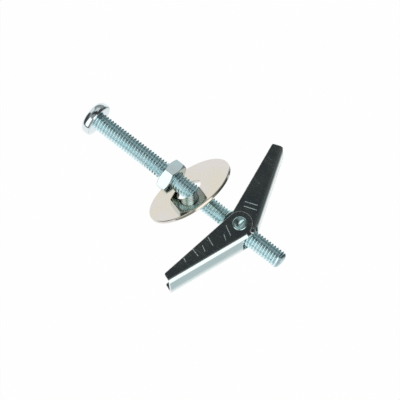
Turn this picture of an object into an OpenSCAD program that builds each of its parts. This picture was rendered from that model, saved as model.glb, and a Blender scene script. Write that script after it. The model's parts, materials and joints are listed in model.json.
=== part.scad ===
// Spring toggle bolt: a machine screw with a nut, a loose washer and a sprung toggle,
// lying open on a flat surface. Millimetres.
// Every piece is modelled in the bolt's own frame: +X runs along the bolt from the head's
// bearing face to its end, +Z along the toggle's pivot. lay() then turns it into its resting place.

/* [Bolt] */
// Length under the head
bolt_len = 101.6; // [80:0.1:130]
// Thread diameter over the crests
bolt_d = 7.94; // [6.4:0.01:9.5]
// Thread pitch
thread_pitch = 1.411; // [1:0.001:1.6]
// Head diameter
head_d = 15.4; // [13:0.1:18]
// Head height with its crown
head_h = 5.05; // [4:0.05:6]
// Rise of the head's crown
head_crown = 0.45; // [0.2:0.05:0.8]
// Radius between the head's side and its top
head_round = 2.2; // [1:0.1:2.6]
// Radius under the head's rim
head_under_round = 0.8; // [0.3:0.1:1]
// Span of the cross recess
recess_d = 9; // [7:0.1:10]
// Depth of the cross recess
recess_depth = 3.6; // [2:0.1:3.8]
// Width of a recess arm
recess_w = 1.8; // [1.2:0.1:2.4]

/* [Nut] */
// Width across the flats
nut_af = 13.8; // [12.7:0.1:15]
// Thickness of the nut
nut_h = 5.6; // [5:0.1:7]
// Distance from under the head to the nut
nut_at = 37.9; // [5:0.1:45]
// Turn of the nut on the thread, in degrees
nut_turn = 7.4; // [0:0.1:60]

/* [Washer] */
// Outside diameter
washer_d = 40.5; // [30:0.5:50]
// Hole diameter
washer_hole = 11.9; // [11.6:0.1:13]
// Sheet thickness
washer_t = 1.4; // [1:0.1:1.8]
// Radius on the stamped edges
washer_round = 0.35; // [0.1:0.05:0.45]
// Turn of the leaning washer about the bolt, in degrees
washer_turn = 10.3; // [-20:0.1:20]

/* [Toggle] */
// Distance from under the head to the pivot
pivot_at = 79; // [70:0.1:80]
// Length of the trunnion on the head side of its pivot
trunnion_reach = 8.15; // [7:0.05:9]
// Thickness of the trunnion between the folded wings
trunnion_t = 8.8; // [8.7:0.1:9]
// Height of the trunnion along its pivot
trunnion_h = 9.6; // [9.2:0.1:9.7]
// Bevel round the trunnion's nose
trunnion_bevel = 1.8; // [1:0.1:2.4]
// Journal diameter
journal_d = 5.8; // [5:0.1:6]
// Diameter of a journal's staked end
stake_d = 6.2; // [6.1:0.1:7]
// How far a staked end stands out of the ear
stake_h = 0.3; // [0.2:0.05:0.6]
// Length of a wing from the pivot to its tip
wing_len = 38.9; // [30:0.1:45]
// Width of a wing over its flanges
wing_w = 16; // [15.9:0.1:18]
// Sheet thickness of the wings
sheet = 1.1; // [0.9:0.05:1.2]
// Distance from the pivot to the outside of a wing's web
web_out = 6.9; // [6.8:0.05:7.2]
// Radius of the outer ear
ear_r = 5.45; // [5:0.05:6]
// Height of a wing at its tip
tip_h = 4.7; // [3.9:0.1:5.5]
// Outside radius of the folds
fold_r = 1.8; // [1.5:0.05:2]
// Rounding of a flange's tip corner
tip_round = 0.8; // [0.3:0.1:1.5]
// Where the web starts, from the pivot
web_start = 2.95; // [2.9:0.05:3.4]
// Angle between wing_a and the bolt when open, in degrees
open_a = 70.7; // [60:0.1:80]
// Angle between wing_b and the bolt when open, in degrees
open_b = 68.3; // [60:0.1:80]

/* [Spring] */
// Wire diameter
wire_d = 0.6; // [0.4:0.05:0.6]
// Reach of a spring leg along its wing
leg_len = 12; // [8:0.5:20]

/* [Fits] */
// Radial clearance of threads and journals
run_gap = 0.05; // [0.02:0.01:0.1]
// Clearance between stamped faces that slide on each other
slip_gap = 0.1; // [0.05:0.01:0.2]
// Clearance where the washer leans on the nut
lean_gap = 0.3; // [0.2:0.05:0.5]

/* [Hidden] */

smooth = 96;
bolt_r = bolt_d / 2;
bore_r = bolt_r + run_gap;
thread_depth = 0.6134 * thread_pitch;
head_r = head_d / 2;

// Points of an arc about [x, y]
function arc(x, y, r, from, to, steps = 8) =
    [for (i = [0:steps]) let (a = from + (to - from) * i / steps) [x + r * cos(a), y + r * sin(a)]];

// Head: [radius, position along the bolt], from the bearing face round to the middle of the crown
flat_r = head_r - head_round;
crown_r = (flat_r * flat_r + head_crown * head_crown) / (2 * head_crown);
crown_a = asin(flat_r / crown_r);
rim_top = -head_h + head_crown + head_round;
head_profile = concat(
    [[0, 0]],
    arc(head_r - head_under_round, -head_under_round, head_under_round, 90, 0),
    arc(flat_r, rim_top, head_round, 0, -90),
    arc(0, crown_r - head_h, crown_r, -90 + crown_a * 7 / 8, -90, 7));

// Washer: it leans until the edges of its hole meet the thread
hole_diag = sqrt(washer_hole * washer_hole + washer_t * washer_t);
lean = acos((bolt_d + 2 * run_gap) / hole_diag) - atan(washer_t / washer_hole);
nut_corner_r = nut_af / sqrt(3);
nut_face_r = 0.95 * nut_af / 2;
nut_bevel = (nut_corner_r - nut_face_r) * tan(30);
washer_at = nut_at + nut_h - nut_bevel + nut_corner_r * tan(lean) + (washer_t / 2 + lean_gap) / cos(lean);

// Toggle: both wings are one shape, turned half round the bolt, with nested ears
web_in = web_out - sheet;
nest = (sheet + slip_gap) / 2;
half_w = wing_w / 2;
journal_r = journal_d / 2;
ear_bore_r = journal_r + run_gap;
in_fold_r = fold_r - sheet;
inner_ear_r = web_out - fold_r + sqrt(slip_gap * (2 * in_fold_r - slip_gap)) - slip_gap;
stake_z = half_w + nest + slip_gap;
stake_edge = 0.15;
nose_r = bore_r + 0.28;
end_bevel = 0.45;

// The trunnion's end corners stop the open wings at their webs
end_y = trunnion_t / 2 - end_bevel;
function end_for(open) = (web_in - end_y * cos(open) - slip_gap / 2) / sin(open);
end_a = end_for(open_a);
end_b = end_for(open_b);
trunnion_len = trunnion_reach + max(end_a, end_b) + 1;

// The webs' inner corners meet over the bolt when the wings are open
widest = max(open_a, open_b);
fold_back = (web_in * cos(widest) - slip_gap) / sin(widest);

// Outline of a flange: [along the wing, away from the pivot towards the web]
tip_edge = web_out - tip_h;
function tangent_a(r) = atan2(tip_edge, wing_len) - acos(r / norm([wing_len, tip_edge]));
function ear_outline(r) = concat(
    arc(0, 0, r, tangent_a(r), acos(-fold_back / r) - 360, 32),
    [[-fold_back, web_out], [wing_len, web_out]],
    arc(wing_len - tip_round, tip_edge + tip_round * 0.95, tip_round, 0, -80));

// Spring: a helix on the +Z journal, from one leg to the other
coil_r = journal_r + 0.15 + wire_d / 2;
coil_low = trunnion_h / 2 + 0.05 + wire_d / 2;
coil_turn = 540 - open_a - open_b;
coil_rise = (wire_d + 0.04) * coil_turn / 360;
coil_steps = 28;
leg_c = web_in - wire_d / 2 - slip_gap;
leg_tilt = atan((leg_c - coil_r) / leg_len);

// Resting place: the plane under the washer's rim, the lower staked end and wing_a's tip.
// Each *_touch is the point of that piece that lies furthest along the direction down.
function unit(v) = v / norm(v);
washer_axis = [-cos(lean), sin(lean) * sin(washer_turn), sin(lean) * cos(washer_turn)];
function washer_touch(down) = let (tilt = down * washer_axis)
    [washer_at, 0, 0] + (washer_d / 2 - washer_round) * unit(down - tilt * washer_axis)
    + (washer_t / 2 - washer_round) * sign(tilt) * washer_axis + washer_round * down;
function stake_touch(down) =
    [pivot_at, 0, -stake_z - stake_h] + (stake_d / 2 - stake_edge) * unit([down[0], down[1], 0.001]);
wing_a_along = [-cos(open_a), -sin(open_a), 0];
wing_a_web = [sin(open_a), -cos(open_a), 0];
function tip_touch(down) = [pivot_at, 0, nest - half_w + fold_r] + wing_len * wing_a_along
    + (web_out - fold_r) * wing_a_web + fold_r * unit(down - (down * wing_a_along) * wing_a_along);
function plane_under(down) = let (w = washer_touch(down))
    unit(cross(stake_touch(down) - w, tip_touch(down) - w));
function settled(down, tries) = tries == 0 ? down : settled(plane_under(down), tries - 1);
down = settled([0, 0, -1], 8);
rest_pitch = asin(down[0]);
rest_roll = atan2(-down[1], -down[2]);

// Lowest point and ends of the resting object, which put the origin under its middle
function end_touch(down) = [bolt_len - thread_depth, 0, 0] + bolt_r * unit([0, down[1], down[2]]);
rest_height = max(down * washer_touch(down), down * end_touch(down));
rest_back = (crown_r - head_h) * cos(rest_pitch) - crown_r;
rest_front = bolt_len * cos(rest_pitch) + (bolt_r - thread_depth) * sin(rest_pitch);

module lay() {
    translate([-(rest_back + rest_front) / 2, 0, rest_height]) rotate([rest_roll, rest_pitch, 0]) children();
}

// Turns what is drawn along +Z to run along the bolt
module along_bolt() {
    rotate([0, 90, 0]) children();
}

// Wing frame: X along the wing, Y towards its web, Z along the pivot
module wing_a_place() {
    translate([pivot_at, 0, nest]) rotate([0, 0, 180 + open_a]) children();
}

module wing_b_place() {
    translate([pivot_at, 0, -nest]) rotate([180, 0, 180 - open_b]) children();
}

module bolt() {
    color([0.62, 0.68, 0.71]) lay() along_bolt() difference() {
        union() {
            rotate_extrude($fn = smooth) polygon(head_profile);
            translate([0, 0, -0.5]) cylinder(r = bolt_r, h = bolt_len + 0.5 - thread_depth, $fn = smooth);
            translate([0, 0, bolt_len - thread_depth])
                cylinder(r1 = bolt_r, r2 = bolt_r - thread_depth, h = thread_depth, $fn = smooth);
        }
        recess();
    }
}

// Cross recess: arms of one width, inside a cone
module recess() {
    translate([0, 0, -head_h - 0.01]) intersection() {
        cylinder(d1 = recess_d, d2 = 0.35 * recess_d, h = recess_depth, $fn = 48);
        for (a = [0, 90]) rotate(a)
            translate([-recess_d, -recess_w / 2, 0]) cube([2 * recess_d, recess_w, recess_depth]);
    }
}

module hex_nut() {
    color([0.60, 0.66, 0.68]) lay() translate([nut_at, 0, 0]) along_bolt() difference() {
        intersection() {
            rotate(nut_turn) cylinder(r = nut_corner_r, h = nut_h, $fn = 6);
            rotate_extrude($fn = smooth) polygon([
                [0, 0], [nut_face_r, 0], [nut_corner_r + 0.1, nut_bevel + 0.1 * tan(30)],
                [nut_corner_r + 0.1, nut_h - nut_bevel - 0.1 * tan(30)], [nut_face_r, nut_h], [0, nut_h]]);
        }
        translate([0, 0, -1]) cylinder(r = bore_r, h = nut_h + 2, $fn = smooth);
        for (m = [0, 1]) translate([0, 0, m * nut_h]) mirror([0, 0, m])
            translate([0, 0, -0.01]) cylinder(r1 = bore_r + 0.4, r2 = bore_r - 0.01, h = 0.42, $fn = smooth);
    }
}

module washer() {
    outer = washer_d / 2;
    hole = washer_hole / 2;
    color([0.80, 0.79, 0.77]) lay()
        translate([washer_at, 0, 0]) rotate([-washer_turn, 0, 0]) rotate([0, 90 + lean, 0])
        rotate_extrude($fn = smooth) polygon(concat(
            [[hole, -washer_t / 2], [outer - washer_round, -washer_t / 2]],
            arc(outer - washer_round, washer_round - washer_t / 2, washer_round, -90, 0, 5),
            arc(outer - washer_round, washer_t / 2 - washer_round, washer_round, 0, 90, 5),
            [[hole + washer_round, washer_t / 2]],
            arc(hole + washer_round, washer_t / 2 - washer_round, washer_round, 90, 180, 5)));
}

module trunnion_nut() {
    color([0.35, 0.55, 0.53]) lay() translate([pivot_at, 0, 0]) difference() {
        union() {
            intersection() {
                linear_extrude(trunnion_h, center = true) polygon([
                    [-trunnion_reach, -trunnion_t / 2], [end_a - end_bevel, -trunnion_t / 2],
                    [end_a, -end_y], [end_b, end_y],
                    [end_b - end_bevel, trunnion_t / 2], [-trunnion_reach, trunnion_t / 2]]);
                translate([-trunnion_reach, 0, 0]) along_bolt() rotate_extrude($fn = smooth) polygon([
                    [0, 0], [nose_r, 0], [nose_r + trunnion_bevel, trunnion_bevel],
                    [2 * nose_r, trunnion_bevel + 0.8], [2 * nose_r, trunnion_len], [0, trunnion_len]]);
            }
            for (m = [0, 1]) mirror([0, 0, m]) {
                translate([0, 0, bore_r + 0.5])
                    cylinder(r = journal_r, h = stake_z - bore_r - 0.5, $fn = smooth);
                translate([0, 0, stake_z]) rotate_extrude($fn = smooth) polygon([
                    [0, -0.2], [journal_r, -0.2], [journal_r, 0], [stake_d / 2, 0],
                    [stake_d / 2, stake_h - stake_edge], [stake_d / 2 - stake_edge, stake_h],
                    [stake_d / 2 - 0.5, stake_h], [stake_d / 2 - 0.8, stake_h - 0.25], [0, stake_h - 0.25]]);
            }
        }
        along_bolt() cylinder(r = bore_r, h = 2 * trunnion_len, center = true, $fn = smooth);
        for (m = [0, 1]) mirror([0, 0, m]) translate([0, 0, stake_z + stake_h - 0.5])
            rotate(50) translate([-stake_d / 2 + 0.9, -0.35, 0]) cube([stake_d - 1.8, 0.7, 1]);
    }
}

// One wing, with its outer ear at +Z
module wing() {
    difference() {
        union() {
            wing_side(ear_r);
            mirror([0, 0, 1]) wing_side(inner_ear_r);
        }
        translate([0, 0, -wing_w]) cylinder(r = ear_bore_r, h = 2 * wing_w, $fn = smooth);
        translate([-2 * web_out, 0, fold_r - half_w])
            cube([2 * web_out + web_start, 2 * web_out, wing_w - 2 * fold_r]);
    }
}

// Half of the channel, on the +Z side of its middle
module wing_side(r) {
    intersection() {
        linear_extrude(wing_w) polygon(ear_outline(r));
        union() {
            translate([-fold_back, 0, 0]) rotate([90, 0, 90]) linear_extrude(wing_len + fold_back)
                polygon(concat(
                    [[web_out, -0.01], [web_in, -0.01]],
                    arc(web_out - fold_r, half_w - fold_r, fold_r - sheet, 0, 90, 6),
                    [[-2 * r, half_w - sheet], [-2 * r, half_w]],
                    arc(web_out - fold_r, half_w - fold_r, fold_r, 90, 0, 8)));
            translate([-2 * r, -2 * r, half_w - sheet]) cube([2 * r, 4 * r, sheet]);
        }
    }
}

module wing_a() {
    color([0.25, 0.28, 0.28]) lay() wing_a_place() wing();
}

module wing_b() {
    color([0.30, 0.33, 0.33]) lay() wing_b_place() wing();
}

// Ring of the wire's section about a point of its path, seen along a heading in the XY plane
function wire_ring(p, heading, sides = 8) = [for (i = [0:sides - 1]) let (a = 360 * i / sides)
    p + wire_d / 2 * [cos(a) * cos(heading - 90), cos(a) * sin(heading - 90), sin(a)]];

// Wire path: leg on wing_a, coil, leg on wing_b, as [point, heading]
leg_start = open_a - 90;
function leg_end(side) = let (a = side * (90 - (side < 0 ? open_a : open_b)), h = a + side * (90 - leg_tilt))
    [coil_r * cos(a) + leg_len * cos(h), coil_r * sin(a) + leg_len * sin(h),
     coil_low + (side < 0 ? 0 : coil_rise)];
wire_path = concat(
    [[leg_end(-1), open_a - leg_tilt]],
    [for (i = [0:coil_steps]) let (a = leg_start + coil_turn * i / coil_steps)
        [[coil_r * cos(a), coil_r * sin(a), coil_low + coil_rise * i / coil_steps], a + 90]],
    [[leg_end(1), 180 - open_b + leg_tilt]]);

module torsion_spring() {
    sides = 8;
    rings = [for (w = wire_path) each wire_ring(w[0], w[1], sides)];
    count = len(wire_path);
    color([0.7, 0.7, 0.7]) lay() translate([pivot_at, 0, 0]) polyhedron(rings, concat(
        [[for (i = [0:sides - 1]) i]],
        [for (k = [0:count - 2], i = [0:sides - 1]) let (j = (i + 1) % sides)
            each [[k * sides + i, (k + 1) * sides + i, (k + 1) * sides + j],
                  [k * sides + i, (k + 1) * sides + j, k * sides + j]]],
        [[for (i = [0:sides - 1]) count * sides - 1 - i]]));
}

bolt();
hex_nut();
washer();
trunnion_nut();
wing_a();
wing_b();
torsion_spring();
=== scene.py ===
import json
from math import radians

import bmesh
import bpy
import numpy as np
from mathutils import Matrix


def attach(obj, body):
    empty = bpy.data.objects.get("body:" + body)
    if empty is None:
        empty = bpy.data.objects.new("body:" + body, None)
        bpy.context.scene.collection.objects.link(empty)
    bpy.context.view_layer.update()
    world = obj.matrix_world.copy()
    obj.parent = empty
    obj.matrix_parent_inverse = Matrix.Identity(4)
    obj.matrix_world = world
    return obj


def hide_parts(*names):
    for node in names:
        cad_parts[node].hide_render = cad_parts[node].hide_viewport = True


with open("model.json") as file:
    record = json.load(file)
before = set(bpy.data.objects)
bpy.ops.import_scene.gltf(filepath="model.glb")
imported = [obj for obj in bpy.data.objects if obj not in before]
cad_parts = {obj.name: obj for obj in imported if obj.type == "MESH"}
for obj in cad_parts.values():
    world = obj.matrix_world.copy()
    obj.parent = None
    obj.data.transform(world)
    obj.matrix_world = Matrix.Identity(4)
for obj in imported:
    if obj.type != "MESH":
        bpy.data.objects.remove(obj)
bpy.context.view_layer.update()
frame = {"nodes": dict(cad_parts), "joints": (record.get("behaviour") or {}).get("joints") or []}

mm = 0.001
joints = {j["name"]: j for j in frame["joints"]}
alongBolt = np.array(joints["toggle_travel"]["axis"])
pivotLine = np.array(joints["wing_b_fold"]["axis"])
boltTurn = np.column_stack([alongBolt, np.cross(pivotLine, alongBolt), pivotLine])
pivotPoint = np.array(joints["wing_b_fold"]["pos_m"])
pivotAt = 79  # from under the head to the pivot, mm
weldGap = 2e-6  # corners of a worked-out surface nearer than this, in metres, become one
nodeWeldGap = 1e-6  # the same for a node's loose triangles


# from the bolt's own frame in mm (x from the head's seat to the end, z along the pivot) to the row frame
def intoPlace(points):
    return pivotPoint + (np.asarray(points) - [pivotAt, 0, 0]) @ boltTurn.T * mm


def outOfPlace(points):
    return (np.asarray(points) - pivotPoint) @ boltTurn / mm + [pivotAt, 0, 0]


def finishPiece(piece, body, material, smoothAngle=28):
    bpy.context.scene.collection.objects.link(piece)
    piece.data.materials.clear()
    piece.data.materials.append(material)
    piece.data.shade_smooth()
    piece.data.set_sharp_from_angle(angle=radians(smoothAngle))
    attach(piece, body)
    return piece


def meshPiece(name, points, faces, body, slotName, material, smoothAngle=28):
    mesh = bpy.data.meshes.new(name)
    mesh.from_pydata(intoPlace(points).tolist(), [], np.asarray(faces).tolist())
    bm = bmesh.new()
    bm.from_mesh(mesh)
    bmesh.ops.remove_doubles(bm, verts=bm.verts, dist=weldGap)
    bmesh.ops.holes_fill(bm, edges=bm.edges, sides=0)
    bmesh.ops.recalc_face_normals(bm, faces=bm.faces)
    bm.to_mesh(mesh)
    bm.free()
    return finishPiece(bpy.data.objects.new(name, mesh), body, material, smoothAngle)


# quads of a grid whose rows are closed rings
def ringQuads(rows, columns):
    row, column = np.meshgrid(np.arange(rows - 1), np.arange(columns), indexing="ij")
    beside = (column + 1) % columns
    here, onward = row * columns, (row + 1) * columns
    return np.stack([here + column, here + beside, onward + beside, onward + column], -1).reshape(-1, 4)


def startGroup(name, inputs, outputs):
    tree = bpy.data.node_groups.new(name, "ShaderNodeTree")
    for socketName, kind, value in inputs:
        socket = tree.interface.new_socket(name=socketName, in_out="INPUT", socket_type=kind)
        socket.default_value = value
    for socketName, kind in outputs:
        tree.interface.new_socket(name=socketName, in_out="OUTPUT", socket_type=kind)
    return tree, tree.nodes.new("NodeGroupInput"), tree.nodes.new("NodeGroupOutput")


# one node with its settings; each value is a number, a vector or the socket that feeds it
def addNode(tree, kind, values=(), output=0, **settings):
    node = tree.nodes.new(kind)
    for key, value in settings.items():
        setattr(node, key, value)
    for place, value in dict(values).items():
        if isinstance(value, bpy.types.NodeSocket):
            tree.links.new(value, node.inputs[place])
        else:
            node.inputs[place].default_value = value
    return node.outputs[output]


def addMath(tree, operation, *values, clamp=False):
    return addNode(tree, "ShaderNodeMath", enumerate(values), operation=operation, use_clamp=clamp)


def addVectorMath(tree, operation, *values, output=0):
    return addNode(tree, "ShaderNodeVectorMath", enumerate(values), output, operation=operation)


def addRamp(tree, value, low, high, bottom=0.0, top=1.0):
    return addNode(tree, "ShaderNodeMapRange", {0: value, 1: low, 2: high, 3: bottom, 4: top},
                   interpolation_type="SMOOTHSTEP")


def addMix(tree, factor, first, second):
    return addNode(tree, "ShaderNodeMix", {0: factor, 6: first, 7: second}, 2, data_type="RGBA")


plating = dict(
    driftFrom=0.36,  # the cloud's values between which the tint drifts
    driftTo=0.64,
    shadeLow=0.93,  # the grain scales the tint from this to that
    shadeHigh=1.05,
    scuffSets=(((0, 0, 0.6), (0.14, 6.0, 0.7)), ((0, 0, -0.9), (0.10, 8.0, 0.9))),  # turn and stretch of each
    scuffRoughness=0.35,
    scuffDepth=0.0012,  # mm
    edgeFrom=0.995,  # cosines of the turn at which an edge starts to wear and is worn
    edgeTo=0.93,
    bareEdge=(0.88, 0.90, 0.90, 1),
    edgeSamples=6,
)


# zinc plate: a slow drift of tint, a fine ripple, hairline scuffs two ways, and bare bright edges
def platedZincGroup(values):
    tree, given, out = startGroup("platedZinc", [
        ("Tint", "NodeSocketColor", (0.7, 0.8, 0.8, 1)),
        ("Drift Tint", "NodeSocketColor", (0.8, 0.8, 0.75, 1)),
        ("Drift", "NodeSocketFloat", 0.5),
        ("Drift Size", "NodeSocketFloat", 6.0),
        ("Roughness", "NodeSocketFloat", 0.15),
        ("Scuffs", "NodeSocketFloat", 0.5),
        ("Ripple", "NodeSocketFloat", 0.004),
        ("Ripple Size", "NodeSocketFloat", 1.5),
        ("Edge Wear", "NodeSocketFloat", 0.5),
        ("Edge Width", "NodeSocketFloat", 0.22),
        ("Edge Roughness", "NodeSocketFloat", 0.08),
    ], [("Color", "NodeSocketColor"), ("Roughness", "NodeSocketFloat"), ("Height", "NodeSocketFloat")])
    place = addNode(tree, "ShaderNodeTexCoord", output=3)
    spot = addVectorMath(tree, "SCALE", place)
    spot.node.inputs["Scale"].default_value = 1 / mm
    wide = addVectorMath(tree, "SCALE", spot)
    tree.links.new(addMath(tree, "DIVIDE", 1.0, given.outputs["Drift Size"]), wide.node.inputs["Scale"])
    cloud = addNode(tree, "ShaderNodeTexNoise", {"Vector": wide, "Scale": 1, "Detail": 4, "Roughness": 0.6})
    drift = addMath(tree, "MULTIPLY", addRamp(tree, cloud, values["driftFrom"], values["driftTo"]),
                    given.outputs["Drift"])
    grain = addNode(tree, "ShaderNodeTexNoise", {"Vector": spot, "Scale": 2.6, "Detail": 3, "Roughness": 0.6})
    scuffs = []
    for turn, stretch in values["scuffSets"]:
        drawn = addNode(tree, "ShaderNodeMapping", {"Vector": spot, "Rotation": turn, "Scale": stretch})
        lines = addNode(tree, "ShaderNodeTexNoise", {
            "Vector": drawn, "Scale": 1, "Detail": 2, "Roughness": 0.5})
        scuffs.append(addRamp(tree, lines, 0.63, 0.72))
    scuff = addMath(tree, "MULTIPLY", addMath(tree, "MAXIMUM", *scuffs), given.outputs["Scuffs"])
    reach = addMath(tree, "MULTIPLY", given.outputs["Edge Width"], mm)
    rounded = addNode(tree, "ShaderNodeBevel", {"Radius": reach}, samples=values["edgeSamples"])
    straight = addNode(tree, "ShaderNodeNewGeometry", output="Normal")
    facing = addVectorMath(tree, "DOT_PRODUCT", rounded, straight, output="Value")
    edge = addMath(tree, "MULTIPLY", addRamp(tree, facing, values["edgeFrom"], values["edgeTo"]),
                   addRamp(tree, grain, 0.15, 0.35))
    edge = addMath(tree, "MULTIPLY", edge, given.outputs["Edge Wear"])
    color = addMix(tree, drift, given.outputs["Tint"], given.outputs["Drift Tint"])
    shade = addRamp(tree, grain, 0.3, 0.7, values["shadeLow"], values["shadeHigh"])
    color = addVectorMath(tree, "SCALE", color)
    tree.links.new(shade, color.node.inputs["Scale"])
    color = addMix(tree, edge, color, values["bareEdge"])
    tree.links.new(color, out.inputs["Color"])
    rough = addMath(tree, "MULTIPLY", given.outputs["Roughness"], addRamp(tree, cloud, 0.35, 0.7, 0.85, 1.25))
    rough = addMath(tree, "MULTIPLY_ADD", scuff, values["scuffRoughness"], rough)
    rough = addMath(tree, "MULTIPLY_ADD", edge, given.outputs["Edge Roughness"], rough, clamp=True)
    tree.links.new(rough, out.inputs["Roughness"])
    wave = addVectorMath(tree, "SCALE", spot)
    tree.links.new(addMath(tree, "DIVIDE", 1.0, given.outputs["Ripple Size"]), wave.node.inputs["Scale"])
    ripple = addNode(tree, "ShaderNodeTexNoise", {"Vector": wave, "Scale": 1, "Detail": 2, "Roughness": 0.4})
    height = addMath(tree, "MULTIPLY", ripple, given.outputs["Ripple"])
    height = addMath(tree, "MULTIPLY_ADD", scuff, -values["scuffDepth"], height)
    tree.links.new(height, out.inputs["Height"])
    return tree


# distance from a point to the stretch between two others, as a soft line of a given width
def scoreLineGroup():
    tree, given, out = startGroup("scoreLine", [
        ("Place", "NodeSocketVector", (0, 0, 0)),
        ("Start", "NodeSocketVector", (0, 0, 0)),
        ("End", "NodeSocketVector", (1, 0, 0)),
        ("Width", "NodeSocketFloat", 0.3),
    ], [("Mask", "NodeSocketFloat")])
    reach = addVectorMath(tree, "SUBTRACT", given.outputs["Place"], given.outputs["Start"])
    whole = addVectorMath(tree, "SUBTRACT", given.outputs["End"], given.outputs["Start"])
    share = addMath(tree, "DIVIDE", addVectorMath(tree, "DOT_PRODUCT", reach, whole, output="Value"),
                    addVectorMath(tree, "DOT_PRODUCT", whole, whole, output="Value"), clamp=True)
    nearest = addVectorMath(tree, "SCALE", whole)
    tree.links.new(share, nearest.node.inputs["Scale"])
    away = addVectorMath(tree, "LENGTH", addVectorMath(tree, "SUBTRACT", reach, nearest), output="Value")
    near = addMath(tree, "DIVIDE", away, given.outputs["Width"])
    tree.links.new(addRamp(tree, near, 0.15, 0.6, 1.0, 0.0), out.inputs["Mask"])
    return tree


# tint and the tint it drifts to, then amounts, and sizes and widths in mm
zincFinish = dict(
    head=dict(tint=(0.73, 0.84, 0.88), drift=(0.78, 0.82, 0.82), amount=0.5, driftSize=5, roughness=0.09,
              scuffs=0.35, ripple=0.004, rippleSize=1.6, wear=0.5, wearWidth=0.22, wearRoughness=0.08),
    thread=dict(tint=(0.60, 0.82, 0.87), drift=(0.68, 0.84, 0.87), amount=0.6, driftSize=5, roughness=0.21,
                scuffs=0.1, ripple=0.001, rippleSize=0.9, wear=0.1, wearWidth=0.15, wearRoughness=0.08),
    nut=dict(tint=(0.68, 0.81, 0.83), drift=(0.76, 0.80, 0.78), amount=0.5, driftSize=5, roughness=0.14,
             scuffs=0.25, ripple=0.003, rippleSize=1.8, wear=0.6, wearWidth=0.22, wearRoughness=0.08),
    washer=dict(tint=(0.70, 0.66, 0.55), drift=(0.70, 0.665, 0.645), amount=0.9, driftSize=16,
                roughness=0.07, scuffs=0.1, ripple=0.003, rippleSize=3.5, wear=0.9, wearWidth=0.22,
                wearRoughness=0.08),
    trunnion=dict(tint=(0.52, 0.75, 0.75), drift=(0.60, 0.75, 0.73), amount=0.5, driftSize=3,
                  roughness=0.18, scuffs=0.2, ripple=0.003, rippleSize=1.0, wear=1.0, wearWidth=0.26,
                  wearRoughness=0.45),
    wing=dict(tint=(0.68, 0.80, 0.80), drift=(0.74, 0.80, 0.76), amount=0.7, driftSize=7, roughness=0.12,
              scuffs=0.4, ripple=0.006, rippleSize=2.4, wear=1.0, wearWidth=0.5, wearRoughness=0.3),
    spring=dict(tint=(0.55, 0.58, 0.58), drift=(0.60, 0.58, 0.54), amount=0.5, driftSize=3, roughness=0.26,
                scuffs=0.2, ripple=0.002, rippleSize=0.5, wear=0.2, wearWidth=0.1, wearRoughness=0.05),
)


# coordinates in mm about the pivot, in a frame given by its axes in the bolt's own frame
def framePlace(axes):
    turn = Matrix((boltTurn @ axes).tolist())

    def place(tree):
        return addNode(tree, "ShaderNodeMapping", {
            "Vector": addNode(tree, "ShaderNodeTexCoord", output=3), "Location": pivotPoint.tolist(),
            "Rotation": turn.to_euler(), "Scale": (mm, mm, mm)}, vector_type="TEXTURE")
    return place


boltPlace = framePlace(np.eye(3))


# the same along a wing from the pivot, out towards its web, and along the pivot
def wingPlace(opened, side):
    along = np.array([-np.cos(radians(opened)), side * np.sin(radians(opened)), 0])
    out = np.array([np.sin(radians(opened)), side * np.cos(radians(opened)), 0])
    return framePlace(np.column_stack([along, out, np.cross(along, out)]))


scoreMark = dict(
    patchSize=1.4,  # scale of the noise that breaks a mark up
    faintest=0.25,
    roughness=0.42,
    depth=0.03,  # mm
)


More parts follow.
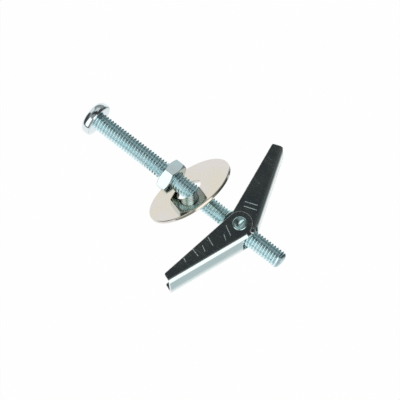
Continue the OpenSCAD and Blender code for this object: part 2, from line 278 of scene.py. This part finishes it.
# plated zinc with a piece's own values: marks are scored lines, the bow crowns a web, and the groove paints
# shade into a thread's roots and a highlight on its crests; the bow's height is less by the square of the way
# from its top
def zincMaterial(name, values, marks=(), markPlace=None, bow=0.0, bowMiddle=0.0, groove=None):
    material = bpy.data.materials.new("zinc_" + name)
    material.use_nodes = True
    tree = material.node_tree
    shader = tree.nodes["Principled BSDF"]
    shader.inputs["Metallic"].default_value = 1
    plate = tree.nodes.new("ShaderNodeGroup")
    plate.node_tree = platedZinc
    for socket, key in (("Drift", "amount"), ("Drift Size", "driftSize"), ("Roughness", "roughness"),
                        ("Scuffs", "scuffs"), ("Ripple", "ripple"), ("Ripple Size", "rippleSize"),
                        ("Edge Wear", "wear"), ("Edge Width", "wearWidth"),
                        ("Edge Roughness", "wearRoughness")):
        plate.inputs[socket].default_value = values[key]
    plate.inputs["Tint"].default_value = (*values["tint"], 1)
    plate.inputs["Drift Tint"].default_value = (*values["drift"], 1)
    color, rough, height = (plate.outputs[socket] for socket in ("Color", "Roughness", "Height"))
    if groove:
        # painted shade and highlight: the tint is scaled darker down in the thread's roots and lighter on its
        # crests
        around = addVectorMath(tree, "MULTIPLY", boltPlace(tree), (0, 1, 1))
        radius = addVectorMath(tree, "LENGTH", around, output="Value")
        color = addVectorMath(tree, "SCALE", color)
        tree.links.new(addRamp(tree, radius, *groove), color.node.inputs["Scale"])
    if markPlace:
        spot = markPlace(tree)
        mask = None
        for start, end, width in marks:
            line = tree.nodes.new("ShaderNodeGroup")
            line.node_tree = scoreLine
            tree.links.new(spot, line.inputs["Place"])
            line.inputs["Start"].default_value = start
            line.inputs["End"].default_value = end
            line.inputs["Width"].default_value = width
            mask = line.outputs[0] if mask is None else addMath(tree, "MAXIMUM", mask, line.outputs[0])
        worn = addNode(tree, "ShaderNodeTexNoise", {
            "Vector": spot, "Scale": scoreMark["patchSize"], "Detail": 3})
        mask = addMath(tree, "MULTIPLY", mask, addRamp(tree, worn, 0.30, 0.50, scoreMark["faintest"], 1.0))
        rough = addMath(tree, "MULTIPLY_ADD", mask, scoreMark["roughness"], rough, clamp=True)
        height = addMath(tree, "MULTIPLY_ADD", mask, -scoreMark["depth"], height)
        # the web is pressed slightly crowned
        aside = addMath(tree, "SUBTRACT", addNode(tree, "ShaderNodeSeparateXYZ", {0: spot}, 2), bowMiddle)
        height = addMath(tree, "MULTIPLY_ADD", addMath(tree, "MULTIPLY", aside, aside), -bow, height)
    bump = tree.nodes.new("ShaderNodeBump")
    bump.inputs["Distance"].default_value = mm
    bump.inputs["Strength"].default_value = 1
    tree.links.new(height, bump.inputs["Height"])
    tree.links.new(color, shader.inputs["Base Color"])
    tree.links.new(rough, shader.inputs["Roughness"])
    tree.links.new(bump.outputs["Normal"], shader.inputs["Normal"])
    return material


print("finishes")
platedZinc = platedZincGroup(plating)
scoreLine = scoreLineGroup()

thread = dict(
    crestRadius=3.96,
    pitch=1.411,
    depth=0.62,
    length=101.6,
    crestFlat=0.04,  # half width of the crest and width of a flank, in pitches
    flank=0.42,
    lead=1.0,  # chamfer at the end, and its slope
    leadSlope=0.95,
    startBefore=1.6,  # pitches by which the grid starts inside the head
    spare=2,  # pitches that it has beyond the shank's own
    stepsRound=40,
    stepsAPitch=14,
    plate=(3.40, 3.90, 0.82, 1.22),  # painted shade in the roots, painted highlight on the crests: from this radius to that, the tint is scaled from this to that
)


# radius = crest - depth * rise, where rise goes smoothly from 0 at a crest to 1 at a root as the phase goes
# half a pitch; the grid is sheared by one pitch a turn, so its rows follow the helix
def threadSurface(values):
    around, perPitch, pitch = values["stepsRound"], values["stepsAPitch"], values["pitch"]
    rows = int((values["length"] / pitch + values["spare"]) * perPitch)
    row, column = np.meshgrid(np.arange(rows), np.arange(around), indexing="ij")
    x = pitch * (row / perPitch + column / around - values["startBefore"])
    phase = np.abs((row / perPitch) % 1 - 0.5)  # 0 at a crest, 0.5 at a root
    rise = np.clip((phase - values["crestFlat"]) / values["flank"], 0, 1)
    rise = rise * rise * (3 - 2 * rise)
    radius = values["crestRadius"] - values["depth"] * rise
    leadStart = values["length"] - values["lead"]
    cut = np.clip(x - leadStart, 0, values["lead"]) * values["leadSlope"]
    radius = np.minimum(radius, values["crestRadius"] - cut)
    x = np.minimum(x, values["length"])
    angle = 2 * np.pi * column / around
    points = np.stack([x, -radius * np.sin(angle), radius * np.cos(angle)], -1).reshape(-1, 3)
    row, column = np.meshgrid(np.arange(rows - perPitch - 1), np.arange(around), indexing="ij")
    beside = np.where(column == around - 1, 0, column + 1)
    shift = np.where(column == around - 1, perPitch, 0)
    here, onward = row * around, (row + 1) * around
    quads = [here + column, onward + column, onward + shift * around + beside, here + shift * around + beside]
    return points, np.stack(quads, -1).reshape(-1, 4)


# the surface without the points that none of its faces has
def onlyUsed(points, faces):
    used, faces = np.unique(faces, return_inverse=True)
    return points[used], faces.reshape(-1, 4)


head = dict(
    radius=7.7,
    barrel=3.8,  # radius of the side's own curve
    barrelAt=-1.75,
    barrelSpan=24,  # degrees to each side
    shoulder=2.12,
    crownSlope=9.4,
    crownEdge=5.46,
    seatRadii=(3.2, 4.6, 6.0, 7.22),  # from inside the thread to the seat's edge
    cornerShares=((0.75, 0.97), (0.40, 0.80), (0.12, 0.40)),  # of the way from the side to the seat's edge
    insideAt=-3.0,  # where the hidden wall that closes it stands along the bolt
    sideSteps=19,
    shoulderSteps=16,
    stepsRound=144,
    crownKeep=5.52,  # the node's crown is kept within this radius and further out than this place
    crownKeepAt=-0.5,
    crownRim=((0.03, 0.02), (0.02, 0.03), (0.008, 0.04), (0, 3.35)),  # how its rim goes on under the shoulder
)


# the profile (radius, place along the bolt) goes from the seat out, round the barrel side and the shoulder to
# the crown, and back inside, and is spun about the bolt
def headSurface(values):
    span, slope = radians(values["barrelSpan"]), radians(90 - values["crownSlope"])
    bearing = np.linspace(-span, span, values["sideSteps"])
    middle = values["radius"] - values["barrel"]
    side = np.stack([middle + values["barrel"] * np.cos(bearing),
                     values["barrelAt"] - values["barrel"] * np.sin(bearing)], 1)
    bearing = np.linspace(span, slope, values["shoulderSteps"])[1:]
    less = values["barrel"] - values["shoulder"]
    centreRadius = middle + less * np.cos(span)
    centreAt = values["barrelAt"] - less * np.sin(span)
    shoulder = np.stack([centreRadius + values["shoulder"] * np.cos(bearing),
                         centreAt - values["shoulder"] * np.sin(bearing)], 1)
    seat = np.array([[radius, 0.0] for radius in values["seatRadii"]])
    corner = side[0] + (seat[-1] - side[0]) * np.array(values["cornerShares"])
    inward = shoulder[-1, 0] - values["crownEdge"]
    crown = shoulder[-1] + inward * np.array([[-1, -np.tan(radians(values["crownSlope"]))]])
    inside = np.array([[values["crownEdge"], values["insideAt"]],
                       [values["seatRadii"][0], values["insideAt"]]])
    profile = np.concatenate([seat, corner, side, shoulder, crown, inside, seat[:1]])
    turn = 2 * np.pi * np.arange(values["stepsRound"]) / values["stepsRound"]
    x = np.broadcast_to(profile[:, 1:], (len(profile), len(turn)))
    points = np.stack([x, profile[:, :1] * np.sin(turn), profile[:, :1] * np.cos(turn)], -1)
    return points.reshape(-1, 3), ringQuads(len(profile), len(turn))


print("head and thread")
headMaterial = zincMaterial("head", zincFinish["head"])
boltHead = meshPiece("bolt_head", *headSurface(head), "bolt", "bolt", headMaterial,
                     smoothAngle=40)
# the thread's tint carries painted shade in its roots and a painted highlight on its crests
boltThread = meshPiece("bolt_thread", *onlyUsed(*threadSurface(thread)), "bolt", "bolt",
                       zincMaterial("thread", zincFinish["thread"], groove=thread["plate"]), smoothAngle=80)

spring = dict(
    wire=0.6,
    coilRadius=3.35,
    coilFoot=5.15,  # of the wire's middle, along the pivot
    rise=0.64,  # a turn
    coilTrim=12,  # degrees that the coil stops short inside each leg
    degreesAStep=4,
    openA=70.7,  # degrees from the bolt, towards its head, to the lower wing and to the upper
    openB=68.3,
    legLength=12,
    legSteps=8,
    legTilt=9.69,
    lap=45,  # degrees of the coil that move with each leg
)


# a round wire: the ring of each point lies across the path's own direction there
def wireSurface(path, wire, around=14):
    along = np.gradient(path, axis=0)
    along /= np.linalg.norm(along, axis=1, keepdims=True)
    side = np.cross(along, [0, 0, 1.0])
    side /= np.linalg.norm(side, axis=1, keepdims=True)
    over = np.cross(side, along)
    turn = 2 * np.pi * np.arange(around) / around
    ring = np.cos(turn)[None, :, None] * side[:, None] + np.sin(turn)[None, :, None] * over[:, None]
    points = (path[:, None] + wire / 2 * ring).reshape(-1, 3)
    return points, ringQuads(len(path), around)


# the coil climbs evenly with its angle; a leg leaves it along the wing
def coilPath(values, start, end):
    first, turns = values["openA"] - 90, 540 - values["openA"] - values["openB"]
    angle = np.radians(np.linspace(start, end, int((end - start) / values["degreesAStep"]) + 2))
    climb = values["coilFoot"] + values["rise"] * (np.degrees(angle) - first) / 360
    climb = np.clip(climb, values["coilFoot"], values["coilFoot"] + values["rise"] * turns / 360)
    around = values["coilRadius"]
    return np.stack([pivotAt + around * np.cos(angle), around * np.sin(angle), climb], -1)


# a straight leg and the stretch of coil that turns with it, as one path; side is -1 for the lower wing
def springLeg(values, side):
    angle = (values["openA"] - 90) if side < 0 else (90 - values["openB"])
    heading = np.radians(angle + side * (90 - values["legTilt"]))
    if side < 0:
        lap = coilPath(values, angle, angle + values["lap"])
    else:
        lap = coilPath(values, angle + 360 - values["lap"], angle + 360)[::-1]
    reach = np.linspace(0, values["legLength"], values["legSteps"])[1:, None]
    leg = lap[0] + reach * [np.cos(heading), np.sin(heading), 0]
    return np.concatenate([leg[::-1], lap])


print("spring")
springMaterial = zincMaterial("spring", zincFinish["spring"])
coilStart = spring["openA"] - 90 + spring["coilTrim"]
coilEnd = 450 - spring["openB"] - spring["coilTrim"]
springCoil = meshPiece("spring_coil", *wireSurface(coilPath(spring, coilStart, coilEnd), spring["wire"]),
                       "trunnion", "spring", springMaterial, smoothAngle=60)
springLegA = meshPiece("spring_leg_lower", *wireSurface(springLeg(spring, -1), spring["wire"]),
                       "wing_a", "spring", springMaterial, smoothAngle=60)
springLegB = meshPiece("spring_leg_upper", *wireSurface(springLeg(spring, 1), spring["wire"]),
                       "wing_b", "spring", springMaterial, smoothAngle=60)


# carries an open round rim on, each step outwards from the bolt and along it in mm, and closes it with a face
def closeRim(bm, steps):
    rim = [e for e in bm.edges if e.is_boundary]
    for outward, onward in steps:
        made = bmesh.ops.extrude_edge_only(bm, edges=rim)["geom"]
        rim = [e for e in made if isinstance(e, bmesh.types.BMEdge)]
        corners = [v for v in made if isinstance(v, bmesh.types.BMVert)]
        points = outOfPlace([v.co for v in corners])
        points[:, 1:] *= 1 + outward / np.hypot(points[:, 1:2], points[:, 2:])
        points[:, 0] += onward
        for corner, spot in zip(corners, intoPlace(points)):
            corner.co = spot
    return bmesh.ops.holes_fill(bm, edges=rim, sides=0)["faces"]


softening = dict(
    flatWithin=0.5,  # degrees between faces that are taken as one
    cornerFrom=35,  # degrees at an edge that is rounded
    flatWeight=100,
)


# a merged copy of a node's mesh with its edges rounded by width mm; keep is a test on the corners of a face
# in the bolt's frame, and each face that closes the cut is drawn in to a point capDepth mm deep
def softenedCopy(node, name, body, material, width, segments=2, keep=None, rimSteps=(), capDepth=0):
    mesh = frame["nodes"][node].data.copy()
    mesh.name = name
    bm = bmesh.new()
    bm.from_mesh(mesh)
    bmesh.ops.remove_doubles(bm, verts=bm.verts, dist=nodeWeldGap)
    if keep:
        gone = [f for f in bm.faces if not keep(outOfPlace([v.co for v in f.verts]))]
        bmesh.ops.delete(bm, geom=gone, context="FACES")
        caps = closeRim(bm, rimSteps)
        bmesh.ops.recalc_face_normals(bm, faces=bm.faces)
        bmesh.ops.poke(bm, faces=caps, offset=-capDepth * mm)
    bmesh.ops.dissolve_limit(bm, angle_limit=radians(softening["flatWithin"]), verts=bm.verts, edges=bm.edges)
    bm.to_mesh(mesh)
    bm.free()
    piece = finishPiece(bpy.data.objects.new(name, mesh), body, material)
    bevel = piece.modifiers.new("edges", "BEVEL")
    bevel.width = width * mm
    bevel.segments = segments
    bevel.limit_method = "ANGLE"
    bevel.angle_limit = radians(softening["cornerFrom"])
    flats = piece.modifiers.new("even_flats", "WEIGHTED_NORMAL")
    flats.mode = "FACE_AREA"
    flats.weight = softening["flatWeight"]
    flats.keep_sharp = True
    return piece


wings = dict(
    bow=0.010,  # the web falls by this times the square of the way from its top, in mm
    bowMiddle=3,  # from the bolt's middle down the pivot to that top
    lowerFace=8.6,  # where the marked flange lies along the pivot, in each wing's own frame
    upperFace=-7.4,
    lowerMarks=((5.4, -2.3, 6.1, 2.5), (8.3, 0.8, 8.9, 3.2), (14.6, -2.0, 14.8, 2.3), (18.6, 0.2, 19.0, 2.8),
                (22.9, -0.6, 22.6, 3.0), (28.2, 0.7, 28.4, 2.4)),
    upperMarks=((8.3, -0.8, 8.2, 4.8), (10.4, -0.9, 10.3, 4.6)),
    markWidth=0.33,
    edge=0.5,  # rounding of the sheet's edges
    edgeSteps=4,
)


# each mark's two ends on a flange, from (along, out) to (along, out), and its width
def wingMarks(marks, face):
    return [((x0, y0, face), (x1, y1, face), wings["markWidth"]) for x0, y0, x1, y1 in marks]


lowerMaterial = zincMaterial("wing_lower", zincFinish["wing"],
                             wingMarks(wings["lowerMarks"], wings["lowerFace"]),
                             wingPlace(spring["openA"], -1), wings["bow"], -wings["bowMiddle"])
upperMaterial = zincMaterial("wing_upper", zincFinish["wing"],
                             wingMarks(wings["upperMarks"], wings["upperFace"]),
                             wingPlace(spring["openB"], 1), wings["bow"], wings["bowMiddle"])

pinEnd = dict(
    radius=3.12,
    foot=8.68,  # where it leaves the ear, along the pivot
    rise=0.31,
    rounding=0.55,  # width of its rounded shoulder
    dish=0.30,
    groove=0.50,  # the chisel's cut: depth, half width, length, off centre and bearing
    grooveWidth=0.62,
    grooveLength=1.75,
    grooveOff=0.35,
    grooveTurn=88,
    cutFade=2.4,  # how fast the cut deepens from the shoulder inwards
    thickness=0.9,
    under=1.7,  # depth of the hollow cone left for it in the journal's end
    journalKeep=8.3,  # the node's journals are kept up to here along the pivot
    stepsAcross=34,
    degreesAStep=6,
)


# height = shoulder + dish + groove: a quarter ellipse inwards from the edge, then down as the square of the
# way to the middle, and a bell across the groove's line that fades beyond its length; an under disc closes it
def pinSurface(values, side):
    shoulder = values["radius"] - values["rounding"]
    radius = values["radius"] * np.sin(np.linspace(0, np.pi / 2, values["stepsAcross"]))[:, None]
    turn = radians(1) * np.arange(0, 360, values["degreesAStep"])[None, :]
    x, y = radius * np.cos(turn), radius * np.sin(turn)
    bearing = radians(values["grooveTurn"])
    along = x * np.cos(bearing) + y * np.sin(bearing)
    across = x * np.sin(bearing) - y * np.cos(bearing) - values["grooveOff"]
    cut = np.exp(-(across / values["grooveWidth"]) ** 2 - (along / values["grooveLength"]) ** 4)
    inside = np.clip(1 - (radius / shoulder) ** 2, 0, 1)
    past = np.clip((radius - shoulder) / values["rounding"], 0, 1)
    height = values["foot"] + values["rise"] * np.sqrt(1 - past ** 2) - values["dish"] * inside
    height = height - values["groove"] * cut * np.clip(inside * values["cutFade"], 0, 1)
    under = np.full_like(height[:1], values["foot"] - values["thickness"])
    x, y = np.concatenate([x, x[-1:], x[:1]]), np.concatenate([y, y[-1:], y[:1]])
    height = np.concatenate([height, under, under])
    points = np.stack([pivotAt + x, y, side * height], -1)
    return points.reshape(-1, 3), ringQuads(*x.shape)


print("staked ends")
trunnionMaterial = zincMaterial("trunnion", zincFinish["trunnion"])
pinTop = meshPiece("staked_end_top", *pinSurface(pinEnd, 1), "trunnion", "trunnion", trunnionMaterial,
                   smoothAngle=60)
pinFoot = meshPiece("staked_end_foot", *pinSurface(pinEnd, -1), "trunnion", "trunnion", trunnionMaterial,
                    smoothAngle=60)


# which faces of the bolt's and the trunnion's nodes are kept, by the corners of each
def inCrown(corners):
    radius = np.hypot(corners[:, 1], corners[:, 2])
    return (radius < head["crownKeep"]).all() and (corners[:, 0] < head["crownKeepAt"]).all()


def inJournals(corners):
    return (np.abs(corners[:, 2]) < pinEnd["journalKeep"]).any()


print("crown, nut, washer, toggle")
boltCrown = softenedCopy("bolt", "bolt_crown", "bolt", headMaterial, width=0.12,
                         keep=inCrown, rimSteps=head["crownRim"])
nut = softenedCopy("hex_nut", "nut", "nut", zincMaterial("nut", zincFinish["nut"]), width=0.15)
washer = softenedCopy("washer", "washer_disc", "washer",
                      zincMaterial("washer", zincFinish["washer"]), width=0.1)
trunnion = softenedCopy("trunnion_nut", "trunnion", "trunnion", trunnionMaterial, width=0.12,
                        keep=inJournals, capDepth=pinEnd["under"])
wingLower = softenedCopy("wing_a", "wing_lower", "wing_a", lowerMaterial,
                         width=wings["edge"], segments=wings["edgeSteps"])
wingUpper = softenedCopy("wing_b", "wing_upper", "wing_b", upperMaterial,
                         width=wings["edge"], segments=wings["edgeSteps"])
for node, pieces in (
    ("bolt", (boltThread, boltHead, boltCrown)),
    ("hex_nut", (nut,)),
    ("washer", (washer,)),
    ("trunnion_nut", (trunnion, pinTop, pinFoot)),
    ("wing_a", (wingLower,)),
    ("wing_b", (wingUpper,)),
    ("torsion_spring", (springCoil, springLegA, springLegB)),
):
    for piece in pieces:
        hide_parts(node)

studio = dict(
    boltNearer=13.5,  # degrees the bolt's end leans towards the camera
    turnAboutBolt=13.5,
    boltSlope=(0.79246, 0.60993),  # the bolt's direction in the view, right and down
    distance=1500,
    lens=315,
    aim=(56.7, 0.04, 0.51),  # on the bolt, then left and down in the view, mm
    above=(0.30, 0.31, 0.31),  # the room over and under the level of the bolt
    below=(1.0, 1.0, 1.0),
    levelFrom=-0.24,  # sines of the heights between which the white below gives way to the room
    levelTo=-0.12,
    floorSide=1.5,  # half the floor's width, in metres
    floorShare=0.985,  # share of plain white in what the camera sees of the floor
)
# soft boxes and dark cards about the object: bearing from the bolt's end round to the upper wing's side and
# height, both in degrees, half width and half height as tangents, softness of the edge, and colour
cards = (
    dict(bearing=58, height=45, wide=0.50, tall=0.48, soft=0.10, color=(0.06, 0.06, 0.06)),
    dict(bearing=82, height=70, wide=0.34, tall=0.26, soft=0.08, color=(0.05, 0.05, 0.05)),
    dict(bearing=48, height=-8, wide=0.80, tall=0.48, soft=0.12, color=(0.075, 0.085, 0.085)),
    dict(bearing=60, height=-48, wide=0.42, tall=0.325, soft=0.12, color=(0.11, 0.125, 0.125)),
    dict(bearing=-3, height=-60, wide=0.22, tall=0.22, soft=0.08, color=(0.57, 0.63, 0.65)),
    dict(bearing=-11, height=24, wide=0.42, tall=1.0, soft=0.10, color=(1.4, 1.4, 1.4)),
    dict(bearing=208, height=10, wide=0.52, tall=0.58, soft=0.10, color=(0.07, 0.07, 0.07)),
    dict(bearing=163, height=20, wide=0.24, tall=0.46, soft=0.06, color=(0.85, 0.86, 0.86)),
    dict(bearing=-106, height=-9, wide=0.60, tall=0.08, soft=0.04, color=(0.12, 0.12, 0.12)),
    dict(bearing=-100, height=28, wide=0.36, tall=0.625, soft=0.06, color=(1.35, 1.35, 1.35)),
    dict(bearing=112, height=47, wide=0.30, tall=0.36, soft=0.05, color=(0.66, 0.70, 0.71)),
    dict(bearing=136, height=71, wide=0.40, tall=0.19, soft=0.08, color=(0.037, 0.040, 0.042)),
)


# the three axes of the view (right, down, away) in the bolt's frame
def viewAxes(values):
    nearer, turned = radians(values["boltNearer"]), radians(values["turnAboutBolt"])
    along = np.array([*values["boltSlope"], 0])
    aside = np.array([-values["boltSlope"][1], values["boltSlope"][0], 0])
    away = np.array([0, 0, 1.0])
    bolt = np.cos(nearer) * along - np.sin(nearer) * away
    behind = np.cos(nearer) * away + np.sin(nearer) * along
    pivot = np.cos(turned) * behind + np.sin(turned) * aside
    across = np.cos(turned) * aside - np.sin(turned) * behind
    return np.column_stack([bolt, -across, -pivot])


def addCamera(values):
    right, down, away = viewAxes(values)
    spot = np.array([values["aim"][0], 0, 0]) - right * values["aim"][1] + down * values["aim"][2]
    matrix = np.eye(4)
    matrix[:3, :3] = np.column_stack([boltTurn @ right, boltTurn @ -down, boltTurn @ -away])
    matrix[:3, 3] = intoPlace(spot - away * values["distance"])
    data = bpy.data.cameras.new("camera")
    data.lens = values["lens"]
    data.sensor_width = 36
    data.clip_start = 0.05
    camera = bpy.data.objects.new("camera", data)
    camera.matrix_world = matrix.T.tolist()
    bpy.context.scene.collection.objects.link(camera)
    bpy.context.scene.camera = camera


# a card fills the directions whose tangents across and up from its middle are within its half sizes
def softCardGroup():
    tree, given, out = startGroup("softCard", [
        ("Way", "NodeSocketVector", (0, 0, 1)), ("Middle", "NodeSocketVector", (1, 0, 0)),
        ("Side", "NodeSocketVector", (0, 1, 0)), ("Top", "NodeSocketVector", (0, 0, 1)),
        ("Wide", "NodeSocketFloat", 0.3), ("Tall", "NodeSocketFloat", 0.3), ("Soft", "NodeSocketFloat", 0.1),
    ], [("Mask", "NodeSocketFloat")])
    way = given.outputs["Way"]
    towards, across, up = (addVectorMath(tree, "DOT_PRODUCT", way, given.outputs[axis], output="Value")
                           for axis in ("Middle", "Side", "Top"))
    mask = addMath(tree, "GREATER_THAN", towards, 0.02)  # only the half of the room that the card is in
    for part, size in ((across, "Wide"), (up, "Tall")):
        tangent = addMath(tree, "ABSOLUTE", addMath(tree, "DIVIDE", part, towards))
        inside = addMath(tree, "SUBTRACT", given.outputs[size], tangent)
        inside = addRamp(tree, addMath(tree, "DIVIDE", inside, given.outputs["Soft"]), -1.0, 1.0)
        mask = addMath(tree, "MULTIPLY", mask, inside)
    tree.links.new(mask, out.inputs["Mask"])
    return tree


# white to the camera, and to the metal a grey room over white with the cards laid on it in turn
def addWorld(values, cardList):
    world = bpy.data.worlds.new("room")
    bpy.context.scene.world = world
    world.use_nodes = True
    tree = world.node_tree
    tree.nodes.clear()
    card = softCardGroup()
    way = addNode(tree, "ShaderNodeTexCoord", output="Generated")
    level = addVectorMath(tree, "DOT_PRODUCT", way, boltTurn[:, 2].tolist(), output="Value")
    raised = addRamp(tree, level, values["levelFrom"], values["levelTo"])
    color = addMix(tree, raised, (*values["below"], 1), (*values["above"], 1))
    for one in cardList:
        bearing, height = radians(one["bearing"]), radians(one["height"])
        outward = np.cos(height)
        middle = np.array([outward * np.cos(bearing), outward * np.sin(bearing), np.sin(height)])
        side = np.array([-np.sin(bearing), np.cos(bearing), 0])
        node = tree.nodes.new("ShaderNodeGroup")
        node.node_tree = card
        tree.links.new(way, node.inputs["Way"])
        for name, vector in (("Middle", middle), ("Side", side), ("Top", np.cross(middle, side))):
            node.inputs[name].default_value = boltTurn @ vector
        for name, key in (("Wide", "wide"), ("Tall", "tall"), ("Soft", "soft")):
            node.inputs[name].default_value = one[key]
        color = addMix(tree, node.outputs[0], color, (*one["color"], 1))
    room = addNode(tree, "ShaderNodeBackground", {"Color": color})
    white = addNode(tree, "ShaderNodeBackground", {"Color": (1, 1, 1, 1)})
    seen = addNode(tree, "ShaderNodeLightPath", output="Is Camera Ray")
    both = addNode(tree, "ShaderNodeMixShader", {0: seen, 1: room, 2: white})
    tree.links.new(both, tree.nodes.new("ShaderNodeOutputWorld").inputs["Surface"])


def addFloor(values):
    side = values["floorSide"]
    corners = [(-side, -side, 0), (side, -side, 0), (side, side, 0), (-side, side, 0)]
    mesh = bpy.data.meshes.new("floor")
    mesh.from_pydata(corners, [], [(0, 1, 2, 3)])
    floor = bpy.data.objects.new("floor", mesh)
    bpy.context.scene.collection.objects.link(floor)
    material = bpy.data.materials.new("floor")
    material.use_nodes = True
    tree = material.node_tree
    shader = tree.nodes["Principled BSDF"]
    shader.inputs["Base Color"].default_value = (0.9, 0.9, 0.9, 1)
    shader.inputs["Roughness"].default_value = 0.8
    shader.inputs["Specular IOR Level"].default_value = 0
    glow = addNode(tree, "ShaderNodeEmission", {"Strength": 1})
    seen = addNode(tree, "ShaderNodeLightPath", output="Is Camera Ray")
    share = addMath(tree, "MULTIPLY", seen, values["floorShare"])
    mix = addNode(tree, "ShaderNodeMixShader", {0: share, 1: shader.outputs[0], 2: glow})
    tree.links.new(mix, tree.nodes["Material Output"].inputs["Surface"])
    mesh.materials.append(material)
    floor.visible_glossy = False  # metal shows the room's own white below
    floor.visible_shadow = False


print("studio")
addCamera(studio)
addWorld(studio, cards)
addFloor(studio)

bpy.context.scene.view_settings.view_transform = "Standard"
